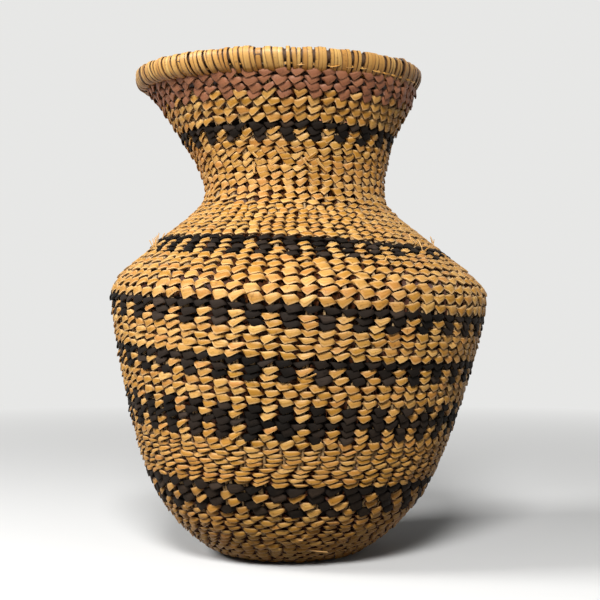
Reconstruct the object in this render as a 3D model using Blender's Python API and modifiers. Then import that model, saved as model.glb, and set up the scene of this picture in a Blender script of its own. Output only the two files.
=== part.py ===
"""A twined basketry olla, at its real size.

Metres, +Z up. The origin is on the ground under the middle of the belly, and the photographed
side faces -Y. Split-rod warps rise from a start knot in the base to the rim. Bands of twined
splint weft enclose them on both sides. On top, one more course and a rod hoop are overcast
together by one long splint, which passes between the warps on every turn.
"""

import math

import bpy
import numpy as np
from mathutils import Vector

# Outer face of the wall: radii at foot, belly, neck and lip. The places between them stand out
# or draw in from those, and each place rises above the one below it.
FOOT_RADIUS = 0.0320
HEEL_SPREAD = 0.0228
HEEL_RISE = 0.0105
LOWER_WALL_DRAW = 0.0287
LOWER_WALL_RISE = 0.0300
UPPER_WALL_DRAW = 0.0117
UPPER_WALL_RISE = 0.0485
BELLY_RADIUS = 0.1091
BELLY_RISE = 0.0530
SHOULDER_DRAW = 0.0026
SHOULDER_RISE = 0.0155
SLOPE_DRAW = 0.0261
SLOPE_RISE = 0.0210
NECK_FOOT_SPREAD = 0.0054
NECK_FOOT_RISE = 0.0207
NECK_RADIUS = 0.0526
NECK_RISE = 0.0118
FLARE_SPREAD = 0.0077
FLARE_RISE = 0.0260
LIP_RADIUS = 0.0772
LIP_RISE = 0.0299

# Weave
WARP_COUNT = 15
WARP_WIDTH = 0.0028
WARP_DEPTH = 0.0024
WEFT_SKIN = 0.0012
KNOT_RADIUS = 0.0130
KNOT_BEVEL = 0.0008
GAP = 0.0003

# Rim
RIM_COURSE_HEIGHT = 0.0040
HOOP_RADIUS = 0.0032
OVERCAST_WIDTH = 0.0056
OVERCAST_THICKNESS = 0.0009
OVERCASTS_PER_SPACE = 4
OVERCAST_SQUEEZE = 0.87

# How far the hand-made shape leans sideways off its axis, at foot and rim
FOOT_LEAN = -0.0075
RIM_LEAN = -0.0113
RIM_LEAN_POWER = 2

# Bands of weft, from the foot up: name, splint, courses
BANDS = (
    ("base_weft", "natural", 4),
    ("heel_turn_weft", "natural", 7),
    ("heel_weft", "natural", 8),
    ("heel_black_weft", "black", 5),
    ("lower_wall_weft", "natural", 6),
    ("lower_black_weft", "black", 6),
    ("middle_wall_weft", "natural", 3),
    ("middle_black_weft", "black", 3),
    ("upper_wall_weft", "natural", 4),
    ("belly_black_weft", "black", 3),
    ("shoulder_weft", "natural", 9),
    ("shoulder_black_weft", "black", 4),
    ("slope_weft", "natural", 7),
    ("neck_weft", "natural", 10),
    ("neck_black_weft", "black", 3),
    ("flare_weft", "natural", 2),
    ("red_weft", "red", 4),
)

# Mesh fineness
RING_SEGMENTS = 2 * WARP_COUNT
RIM_SEGMENTS = 3 * WARP_COUNT
ROD_SIDES = 8
SPAN_STEPS = 24
MOST_TURN = math.radians(22)
SMOOTH_ANGLE = math.radians(35)
MERGE = 0.00001

# Splint and rod finishes: colour, roughness
FINISHES = {
    "natural": ((0.60, 0.39, 0.15), 0.55),
    "black": ((0.022, 0.019, 0.018), 0.50),
    "red": ((0.24, 0.085, 0.045), 0.60),
    "overcast": ((0.68, 0.46, 0.19), 0.45),
    "rod": ((0.42, 0.30, 0.16), 0.70),
}

WALL = WARP_DEPTH + 2 * (GAP + WEFT_SKIN)
BELLY_HEIGHT = HEEL_RISE + LOWER_WALL_RISE + UPPER_WALL_RISE + BELLY_RISE


def smooth_through(points):
    """A smooth line through the points, as many short straight steps."""
    steps = []
    for before, start, end, after in zip(points, points[1:], points[2:], points[3:]):
        for step in range(SPAN_STEPS):
            u = step / SPAN_STEPS
            steps.append(
                start
                + 0.5 * u * (end - before)
                + u * u * (before - 2.5 * start + 2 * end - 0.5 * after)
                + 0.5 * u ** 3 * (3 * start - before - 3 * end + after)
            )
    return steps + [points[-2]]


class Meridian:
    """The wall's outer face cut by a plane through the axis, measured along its own length."""

    def __init__(self):
        steps_up = (
            (FOOT_RADIUS, 0),
            (FOOT_RADIUS + HEEL_SPREAD, HEEL_RISE),
            (BELLY_RADIUS - LOWER_WALL_DRAW, LOWER_WALL_RISE),
            (BELLY_RADIUS - UPPER_WALL_DRAW, UPPER_WALL_RISE),
            (BELLY_RADIUS, BELLY_RISE),
            (BELLY_RADIUS - SHOULDER_DRAW, SHOULDER_RISE),
            (BELLY_RADIUS - SLOPE_DRAW, SLOPE_RISE),
            (NECK_RADIUS + NECK_FOOT_SPREAD, NECK_FOOT_RISE),
            (NECK_RADIUS, NECK_RISE),
            (NECK_RADIUS + FLARE_SPREAD, FLARE_RISE),
            (LIP_RADIUS, LIP_RISE),
        )
        heights = np.cumsum([rise for _, rise in steps_up])
        wall = [Vector((radius, height)) for (radius, _), height in zip(steps_up, heights)]
        self.top = heights[-1]
        level_start = Vector((FOOT_RADIUS - HEEL_SPREAD, HEEL_RISE))
        straight_end = 2 * wall[-1] - wall[-2]
        line = smooth_through([level_start, *wall, straight_end])
        self.line = [Vector((KNOT_RADIUS + GAP, 0)), *line]
        steps = [b - a for a, b in zip(self.line, self.line[1:])]
        self.reach = np.concatenate([[0], np.cumsum([step.length for step in steps])])
        self.length = self.reach[-1]
        turns = [a.angle(b) for a, b in zip(steps, steps[1:])]
        self.turned = np.concatenate([[0], np.cumsum(turns), [sum(turns)]])

    def at(self, along):
        """Point on the outer face. Beyond either end the line runs on straight."""
        step = int(np.searchsorted(self.reach, along, side="right")) - 1
        step = min(max(step, 0), len(self.line) - 2)
        share = (along - self.reach[step]) / (self.reach[step + 1] - self.reach[step])
        return self.line[step].lerp(self.line[step + 1], share)

    def direction(self, along):
        """Unit vector along the wall, as (radius, height)."""
        reach = 0.5 * GAP
        return (self.at(along + reach) - self.at(along - reach)).normalized()

    def inside(self, along, depth):
        """Point at a depth under the outer face."""
        ahead = self.direction(along)
        return self.at(along) + depth * Vector((-ahead.y, ahead.x))

    def stations(self, start, end):
        """Places along a stretch, from end to end, with equal turns of the wall between."""
        first, last = np.interp((start, end), self.reach, self.turned)
        count = max(1, math.ceil((last - first) / MOST_TURN))
        turned = np.linspace(first, last, count + 1)[1:-1]
        return [start, *np.interp(turned, self.turned, self.reach), end]


MERIDIAN = Meridian()
COURSE_PITCH = MERIDIAN.length / sum(courses for _, _, courses in BANDS)


def settled(point):
    """Moves a point of the straight shape to where the hand-made one has it."""
    x, y, z = point
    below = max(1 - z / BELLY_HEIGHT, 0)
    above = max((z - BELLY_HEIGHT) / (MERIDIAN.top - BELLY_HEIGHT), 0)
    return Vector((x + FOOT_LEAN * below + RIM_LEAN * above ** RIM_LEAN_POWER, y, z))


def material(name):
    """The finish of one kind of splint or rod, made once."""
    if name in bpy.data.materials:
        return bpy.data.materials[name]
    colour, roughness = FINISHES[name]
    made = bpy.data.materials.new(name)
    made.use_nodes = True
    shader = made.node_tree.nodes["Principled BSDF"]
    shader.inputs["Base Color"].default_value = (*colour, 1)
    shader.inputs["Roughness"].default_value = roughness
    return made


def new_object(name, points, edges, faces, collection):
    """A mesh object in a collection."""
    mesh = bpy.data.meshes.new(name)
    mesh.from_pydata(points, edges, faces)
    made = bpy.data.objects.new(name, mesh)
    collection.objects.link(made)
    return made


def take_finish(obj, finish):
    """Applies the modifiers, settles the shape, and gives it its finish."""
    bpy.context.view_layer.update()
    graph = bpy.context.evaluated_depsgraph_get()
    mesh = bpy.data.meshes.new_from_object(obj.evaluated_get(graph))
    mesh.transform(obj.matrix_world)
    for vertex in mesh.vertices:
        vertex.co = settled(vertex.co)
    mesh.materials.clear()
    mesh.materials.append(material(finish))
    mesh.shade_smooth()
    mesh.set_sharp_from_angle(angle=SMOOTH_ANGLE)
    obj.modifiers.clear()
    obj.data = mesh
    obj.matrix_world.identity()


def rod_along(name, places, width, depth, collection):
    """A square rod in the XZ plane that follows the middle of the wall's flat sides."""
    points = []
    for along in places:
        middle = MERIDIAN.inside(along, WALL / 2)
        reach = middle.x * math.cos(math.pi / RING_SEGMENTS)
        points += [(reach, -width / 2, middle.y), (reach, width / 2, middle.y)]
    faces = [(2 * i, 2 * i + 1, 2 * i + 3, 2 * i + 2) for i in range(len(places) - 1)]
    rod = new_object(name, points, [], faces, collection)
    solid = rod.modifiers.new("Depth", "SOLIDIFY")
    solid.thickness = depth
    solid.offset = 0
    solid.use_even_offset = True
    return rod


def warp_places(rim_course_top):
    """Where a warp has its stations, from the knot to the top of the rim's course."""
    places = []
    start = 0
    for _, _, courses in BANDS:
        end = start + courses * COURSE_PITCH
        places += MERIDIAN.stations(start, end)[:-1]
        start = end
    return places + [MERIDIAN.length, rim_course_top]


def warp_channels(places, cutters):
    """One cutter that holds a channel for every warp."""
    overshoot = 2 * GAP
    reach = [places[0] - overshoot, *places[1:-1], places[-1] + overshoot]
    channel = rod_along(
        "warp_channels", reach, WARP_WIDTH + 2 * GAP, WARP_DEPTH + 2 * GAP, cutters
    )
    graph = bpy.context.evaluated_depsgraph_get()
    one = bpy.data.meshes.new_from_object(channel.evaluated_get(graph))
    corners = np.array([vertex.co for vertex in one.vertices])
    faces = [tuple(face.vertices) for face in one.polygons]
    bpy.data.objects.remove(channel)
    points = []
    all_faces = []
    for warp in range(WARP_COUNT):
        angle = 2 * math.pi * warp / WARP_COUNT
        c, s = math.cos(angle), math.sin(angle)
        all_faces += [tuple(v + len(points) for v in face) for face in faces]
        points += [(c * x - s * y, s * x + c * y, z) for x, y, z in corners]
    channels = new_object("warp_channels", points, [], all_faces, cutters)
    channels.hide_render = True
    channels.display_type = "WIRE"
    return channels


def weft_ring(name, places, channels, collection):
    """A ring of weft over a stretch of the wall. Every other flat side has a warp's channel."""
    outer = [MERIDIAN.at(along) for along in reversed(places)]
    inner = [MERIDIAN.inside(along, WALL) for along in places]
    corner = math.pi / RING_SEGMENTS
    points = [(p.x * math.cos(corner), p.x * math.sin(corner), p.y) for p in outer + inner]
    edges = [(i, (i + 1) % len(points)) for i in range(len(points))]
    ring = new_object(name, points, edges, [], collection)
    turn = ring.modifiers.new("Turn", "SCREW")
    turn.steps = turn.render_steps = RING_SEGMENTS
    turn.use_merge_vertices = True
    turn.merge_threshold = MERGE
    cut = ring.modifiers.new("Warp channels", "BOOLEAN")
    cut.operation = "DIFFERENCE"
    cut.solver = "EXACT"
    cut.object = channels
    return ring


def start_knot():
    """The crossed warps at the middle of the base, bound into one knot."""
    bpy.ops.mesh.primitive_cylinder_add(
        vertices=RING_SEGMENTS, radius=KNOT_RADIUS, depth=WALL, location=(0, 0, WALL / 2)
    )
    knot = bpy.context.object
    knot.name = "start_knot"
    edge = knot.modifiers.new("Edge", "BEVEL")
    edge.width = KNOT_BEVEL
    edge.limit_method = "ANGLE"
    return knot


class Rim:
    """Places on the rim's cross-section, along the wall beyond its last band and across it."""

    octagon = math.tan(math.pi / 8)

    def __init__(self):
        self.end = MERIDIAN.inside(MERIDIAN.length, WALL / 2)
        self.ahead = MERIDIAN.direction(MERIDIAN.length)
        self.outward = Vector((self.ahead.y, -self.ahead.x))
        self.half = HOOP_RADIUS + GAP + OVERCAST_THICKNESS / 2
        self.low_centre = GAP + OVERCAST_THICKNESS / 2 + self.half
        bulge = self.end.x * (1 - math.cos(math.pi / RING_SEGMENTS))
        corner_reach = math.sqrt(2) * HOOP_RADIUS - WALL / 2 - bulge
        self.course_start = self.low_centre - corner_reach
        self.course_end = self.course_start + RIM_COURSE_HEIGHT
        self.hoop_centre = self.course_end + GAP + HOOP_RADIUS

    def at(self, along, across):
        """(radius, height) of a place on the cross-section."""
        return self.end + along * self.ahead + across * self.outward

    def overcast_turn(self):
        """One turn of the overcast splint round the course and the hoop: along, across,
        share of the turn's advance, and how far it gives way to the warps."""
        corner = self.half * self.octagon
        low, high = self.low_centre, self.hoop_centre
        return (
            (low - self.half, -corner, 0.0, 1.0),
            (low - self.half, corner, 0.0, 1.0),
            (low - corner, self.half, 0.1, 0.9),
            (high + corner, self.half, 0.35, 0.2),
            (high + self.half, corner, 0.45, 0.0),
            (high + self.half, -corner, 0.55, 0.0),
            (high + corner, -self.half, 0.65, 0.2),
            (low - corner, -self.half, 0.9, 0.9),
        )


def rim_hoop(rim):
    """The rod hoop that lies on the top course."""
    centre = rim.at(rim.hoop_centre, 0)
    bpy.ops.mesh.primitive_torus_add(
        major_radius=centre.x,
        minor_radius=HOOP_RADIUS,
        major_segments=RIM_SEGMENTS,
        minor_segments=ROD_SIDES,
        location=(0, 0, centre.y),
    )
    hoop = bpy.context.object
    hoop.name = "rim_hoop"
    return hoop


def rim_overcast(rim, collection):
    """The one long splint wound round the hoop and the top course."""
    turns = WARP_COUNT * OVERCASTS_PER_SPACE
    turn = rim.overcast_turn()
    middles = []
    for number in range(turns):
        for corner, (along, across, advance, giving) in enumerate(turn):
            next_one = corner > len(turn) // 2
            in_space = (number + next_one) % OVERCASTS_PER_SPACE
            off_middle = in_space - (OVERCASTS_PER_SPACE - 1) / 2
            shift = giving * off_middle * (OVERCAST_SQUEEZE - 1)
            angle = 2 * math.pi * (number + 0.5 + advance + shift) / turns
            middles.append((rim.at(along, across), angle))
    middles = middles[: -len(turn) // 4]
    points = []
    for place, angle in middles:
        for side in (-0.5, 0.5):
            at = angle + side * OVERCAST_WIDTH / place.x
            points.append((place.x * math.cos(at), place.x * math.sin(at), place.y))
    faces = [(2 * i, 2 * i + 1, 2 * i + 3, 2 * i + 2) for i in range(len(middles) - 1)]
    splint = new_object("rim_overcast", points, [], faces, collection)
    solid = splint.modifiers.new("Thickness", "SOLIDIFY")
    solid.thickness = OVERCAST_THICKNESS
    solid.offset = 0
    solid.use_even_offset = True
    right = np.array(points[1::2])[: -len(turn)]
    left = np.array(points[0::2])[len(turn):]
    least = np.linalg.norm(right - left, axis=1).min()
    print(f"rim_overcast: {turns} turns, least gap to itself {1000 * least:.2f} mm")
    return splint


def build():
    """Makes every piece of the olla."""
    for old in list(bpy.data.objects):
        bpy.data.objects.remove(old, do_unlink=True)
    olla = bpy.data.collections.new("basketry_olla")
    cutters = bpy.data.collections.new("cutters")
    bpy.context.scene.collection.children.link(olla)
    bpy.context.scene.collection.children.link(cutters)
    bpy.context.view_layer.active_layer_collection = (
        bpy.context.view_layer.layer_collection.children[olla.name]
    )
    rim = Rim()
    places = warp_places(MERIDIAN.length + rim.course_end)
    channels = warp_channels(places, cutters)
    pieces = [(start_knot(), "natural")]
    start = 0
    for name, finish, courses in BANDS:
        end = start + courses * COURSE_PITCH
        stations = MERIDIAN.stations(start, end)
        if start > 0:
            stations[0] += GAP / 2
        if name != BANDS[-1][0]:
            stations[-1] -= GAP / 2
        pieces.append((weft_ring(name, stations, channels, olla), finish))
        start = end
    course = [MERIDIAN.length + rim.course_start, MERIDIAN.length + rim.course_end]
    pieces.append((weft_ring("rim_course", course, channels, olla), "natural"))
    for number in range(WARP_COUNT):
        warp = rod_along(f"warp_{number + 1:02d}", places, WARP_WIDTH, WARP_DEPTH, olla)
        warp.rotation_euler.z = 2 * math.pi * number / WARP_COUNT
        pieces.append((warp, "rod"))
    pieces.append((rim_hoop(rim), "rod"))
    pieces.append((rim_overcast(rim, olla), "overcast"))
    for piece, finish in pieces:
        take_finish(piece, finish)


build()
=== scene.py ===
"""Dresses the twined basketry olla with its stitches, warps, lashing and finishes.

Metres, +Z up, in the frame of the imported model. The wall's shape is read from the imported
model. Every course is laid on it stitch by stitch: two splints twist round each other
between the warps, so that each stitch outside has the other splint behind its warp. The
stitches of a band make one piece, which takes the place of that band's plain ring.
"""

import logging
import math
from collections.abc import Callable
from dataclasses import astuple, dataclass, field, replace
from enum import Enum
from typing import ClassVar

import bpy
import numpy as np
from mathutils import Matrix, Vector


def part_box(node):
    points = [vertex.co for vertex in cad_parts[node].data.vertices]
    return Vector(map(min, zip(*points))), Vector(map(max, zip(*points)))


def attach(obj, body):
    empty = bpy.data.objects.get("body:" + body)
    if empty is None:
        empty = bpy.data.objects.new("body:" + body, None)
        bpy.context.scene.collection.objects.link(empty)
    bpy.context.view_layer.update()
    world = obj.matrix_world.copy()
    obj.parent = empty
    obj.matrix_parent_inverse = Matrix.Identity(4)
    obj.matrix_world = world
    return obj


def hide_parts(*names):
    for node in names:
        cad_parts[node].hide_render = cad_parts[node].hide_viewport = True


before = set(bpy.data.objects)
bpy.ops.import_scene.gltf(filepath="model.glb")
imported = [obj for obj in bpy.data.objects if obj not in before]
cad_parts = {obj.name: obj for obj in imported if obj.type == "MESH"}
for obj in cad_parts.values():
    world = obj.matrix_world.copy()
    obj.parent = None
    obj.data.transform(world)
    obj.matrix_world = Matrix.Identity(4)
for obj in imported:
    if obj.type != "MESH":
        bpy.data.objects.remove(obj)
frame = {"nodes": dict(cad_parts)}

LOG = logging.getLogger("olla")
BODY = "root"
GRAIN_MAP = "grain"
BAKE_MAP = "OFBake"
TONE = "tone"

# Faces that meet at more than these angles have a sharp edge between them.
SPLINT_EDGE = math.radians(38)
ROD_EDGE = math.radians(50)

# How much further along its fibres each copy of a form starts than the copy before it.
GRAIN_STEP = 0.0073

Colour = tuple[float, float, float]
Place = tuple[float, float, float]
Socket = bpy.types.NodeSocket
Value = Socket | float | tuple


class Splint(Enum):
    """The kinds of splint in the weft, by the finish that each takes."""

    STRAW = "natural_splint"
    BLACK = "black_splint"
    RED = "red_splint"


class Row(Enum):
    """Kinds of course, by the two splints that twist round each other in it."""

    STRAW = (Splint.STRAW, Splint.STRAW)
    BLACK = (Splint.BLACK, Splint.BLACK)
    CHECK = (Splint.BLACK, Splint.STRAW)
    RED = (Splint.RED, Splint.RED)
    RED_CHECK = (Splint.RED, Splint.STRAW)


def deselect() -> None:
    """Leaves object mode with nothing selected."""
    if bpy.context.object and bpy.context.object.mode != "OBJECT":
        bpy.ops.object.mode_set(mode="OBJECT")
    bpy.ops.object.select_all(action="DESELECT")


def pick_edges(obj: bpy.types.Object, wanted: Callable[[Vector, Vector], bool]) -> None:
    """Enters edit mode with only some edges selected.

    Args:
        obj: the mesh object, which becomes the active one.
        wanted: tells from an edge's two ends if it is selected.
    """
    bpy.context.view_layer.objects.active = obj
    bpy.context.tool_settings.mesh_select_mode = (False, True, False)
    mesh = obj.data
    for face in mesh.polygons:
        face.select = False
    for vertex in mesh.vertices:
        vertex.select = False
    for edge in mesh.edges:
        first, second = (mesh.vertices[end].co for end in edge.vertices)
        edge.select = wanted(first, second)
    bpy.ops.object.mode_set(mode="EDIT")


@dataclass(frozen=True)
class Form:
    """A small closed mesh that is modelled once and copied many times.

    Attributes:
        corners: its corners as (along, across, out), each from -0.5 to 0.5. A copy gets its
            sizes when it is laid in place.
        faces: the corners of each face, by number.
        tile: the place in a unit tile of each corner of each face, for baking.
        end: how far from the tile's ends the two end faces lie.
        oval: an end face's half length and half width in the tile.
        fill: how much of the tile the sides take up.
    """

    corners: np.ndarray
    faces: tuple[tuple[int, ...], ...]
    tile: np.ndarray
    end: ClassVar[float] = 0.02
    oval: ClassVar[tuple[float, float]] = (0.015, 0.4)
    fill: ClassVar[float] = 0.9

    @classmethod
    def taken_from(cls, obj: bpy.types.Object) -> "Form":
        """Reads a modelled object and removes it.

        Args:
            obj: the object, which runs along X with its outer side up.

        Returns:
            The form.
        """
        corners = np.array([vertex.co for vertex in obj.data.vertices])
        faces = tuple(tuple(face.vertices) for face in obj.data.polygons)
        tile = np.concatenate([cls.unrolled(corners[list(face)]) for face in faces])
        bpy.data.objects.remove(obj)
        return cls(corners, faces, tile)

    @classmethod
    def unrolled(cls, face: np.ndarray) -> np.ndarray:
        """Places of a face's corners in a unit tile, with the sides rolled out flat.

        Args:
            face: the face's corners.

        Returns:
            One place for each corner. The two end faces are small ovals at the tile's ends.
        """
        middle = face.mean(axis=0)
        angles = np.arctan2(face[:, 1], -face[:, 2])
        # An end face has no length along the form.
        if np.ptp(face[:, 0]) < 1e-6:
            side = cls.end if middle[0] < 0 else 1 - cls.end
            long, wide = cls.oval
            return np.stack([side + long * np.cos(angles), 0.5 + wide * np.sin(angles)], axis=1)
        facing = math.atan2(middle[1], -middle[2])
        angles = facing + (angles - facing + math.pi) % (2 * math.pi) - math.pi
        rolled = cls.fill * angles / (2 * math.pi)
        return np.stack([0.5 + cls.fill * face[:, 0], 0.5 + rolled], axis=1)


def splint_form(segments: int, chamfer: float = 0.0) -> Form:
    """A flat splint, modelled from a cube.

    Args:
        segments: how many straight lengths it can bend between.
        chamfer: how far the two outer edges are worn down, as a share of the width.

    Returns:
        The splint's form.
    """
    deselect()
    bpy.ops.mesh.primitive_cube_add(size=1)
    splint = bpy.context.object
    # The four long edges are cut, so that it can bend.
    pick_edges(splint, lambda a, b: abs(a.x - b.x) > 0.5)
    bpy.ops.mesh.subdivide(number_cuts=segments - 1)
    bpy.ops.object.mode_set(mode="OBJECT")
    if chamfer:
        # The long edges of the outer side are worn down, and those of the inner side aren't.
        pick_edges(splint, lambda a, b: abs(a.x - b.x) > 0.01 and min(a.z, b.z) > 0.49)
        bpy.ops.mesh.bevel(offset=chamfer, segments=1, affect="EDGES")
        bpy.ops.object.mode_set(mode="OBJECT")
    return Form.taken_from(splint)


def rod_form(segments: int, sides: int) -> Form:
    """A round rod along X, modelled from a cylinder.

    Args:
        segments: how many straight lengths it can bend between.
        sides: how many sides it has.

    Returns:
        The rod's form.
    """
    deselect()
    bpy.ops.mesh.primitive_cylinder_add(
        vertices=sides, radius=0.5, depth=1, rotation=(0, math.pi / 2, 0)
    )
    rod = bpy.context.object
    bpy.ops.object.transform_apply(location=False, rotation=True, scale=False)
    pick_edges(rod, lambda a, b: abs(a.x - b.x) > 0.5)
    bpy.ops.mesh.subdivide(number_cuts=segments - 1)
    bpy.ops.object.mode_set(mode="OBJECT")
    return Form.taken_from(rod)


@dataclass
class Gathering:
    """Copies of forms, gathered into one mesh, with what their finishes read.

    Attributes:
        name: the piece's name.
        points: the corners of what was added, in their places.
        faces: the corners of each face, by number.
        finishes: each face's place in the piece's list of finishes.
        tones: each corner's lightness, hue, and darkening by painted shade and dirt, as a colour.
        grain: where each corner of each face is on its splint.
        tiles: each copy's tile, for baking.
        count: how many corners there are.
    """

    name: str
    points: list[np.ndarray] = field(default_factory=list)
    faces: list[tuple[int, ...]] = field(default_factory=list)
    finishes: list[np.ndarray] = field(default_factory=list)
    tones: list[np.ndarray] = field(default_factory=list)
    grain: list[np.ndarray] = field(default_factory=list)
    tiles: list[np.ndarray] = field(default_factory=list)
    count: int = 0

    def add(
        self,
        form: Form,
        places: np.ndarray,
        tone: np.ndarray,
        shade_and_dirt: np.ndarray | float,
        length: float,
        finish: np.ndarray | int = 0,
    ) -> None:
        """Adds copies of a form.

        Args:
            form: the form that is copied.
            places: where each copy's corners are, as (copies, corners, 3).
            tone: two numbers from 0 to 1 for each copy, its lightness and its hue.
            shade_and_dirt: how much painted shade and dirt darken the corners, from 0 to 1.
            length: a copy's length, for its grain.
            finish: each copy's place in the piece's list of finishes.
        """
        copies, corners, _ = places.shape
        self.points.append(places.reshape(-1, 3))
        for copy in range(copies):
            start = self.count + copy * corners
            self.faces += [tuple(corner + start for corner in face) for face in form.faces]
        self.count += copies * corners
        self.finishes.append(np.repeat(np.broadcast_to(finish, copies), len(form.faces)))
        tones = np.zeros((copies, corners, 4))
        tones[..., :2] = tone[:, None, :]
        tones[..., 2] = shade_and_dirt
        tones[..., 3] = 1
        self.tones.append(tones.reshape(-1, 4))
        loops = np.concatenate([np.array(face) for face in form.faces])
        flat = form.corners[loops][:, :2] * (length, 1)
        number = len(self.tiles) + np.arange(copies)
        start = np.stack([GRAIN_STEP * number, number + 1.0], axis=1)
        self.grain.append((flat[None] + start[:, None, :]).reshape(-1, 2))
        self.tiles += [form.tile] * copies

    def spread_tiles(self) -> np.ndarray:
        """Lays the copies' tiles side by side in one square, for baking.

        Returns:
            The place in the square of each corner of each face.
        """
        across = math.ceil(math.sqrt(len(self.tiles)))
        spread = []
        for number, tile in enumerate(self.tiles):
            spread.append((tile + (number % across, number // across)) / across)
        return np.concatenate(spread)

    def finished(self, materials: list[bpy.types.Material], sharp: float) -> bpy.types.Object:
        """Makes the piece.

        Args:
            materials: its list of finishes.
            sharp: faces that meet at more than this angle have a sharp edge.

        Returns:
            The piece's object.
        """
        mesh = bpy.data.meshes.new(self.name)
        mesh.from_pydata(np.concatenate(self.points), [], self.faces)
        for material in materials:
            mesh.materials.append(material)
        mesh.polygons.foreach_set("material_index", np.concatenate(self.finishes))
        tone = mesh.attributes.new(TONE, "FLOAT_COLOR", "POINT")
        tone.data.foreach_set("color", np.concatenate(self.tones).ravel())
        grain = mesh.uv_layers.new(name=GRAIN_MAP)
        grain.uv.foreach_set("vector", np.concatenate(self.grain).ravel())
        bake = mesh.uv_layers.new(name=BAKE_MAP)
        bake.uv.foreach_set("vector", self.spread_tiles().ravel())
        mesh.uv_layers.active = grain
        piece = bpy.data.objects.new(self.name, mesh)
        bpy.context.scene.collection.objects.link(piece)
        deselect()
        piece.select_set(True)
        bpy.context.view_layer.objects.active = piece
        bpy.ops.object.shade_smooth_by_angle(angle=sharp)
        return piece


@dataclass(frozen=True)
class Settling:
    """How far the hand-made wall has settled from the CAD model's, at one place up it.

    Attributes:
        along: how far along the wall the place is.
        left: how much higher the wall stands at the left.
        right: how much higher it stands at the right.
        aside: how far it is moved to the right.
    """

    along: float
    left: float
    right: float
    aside: float


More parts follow.
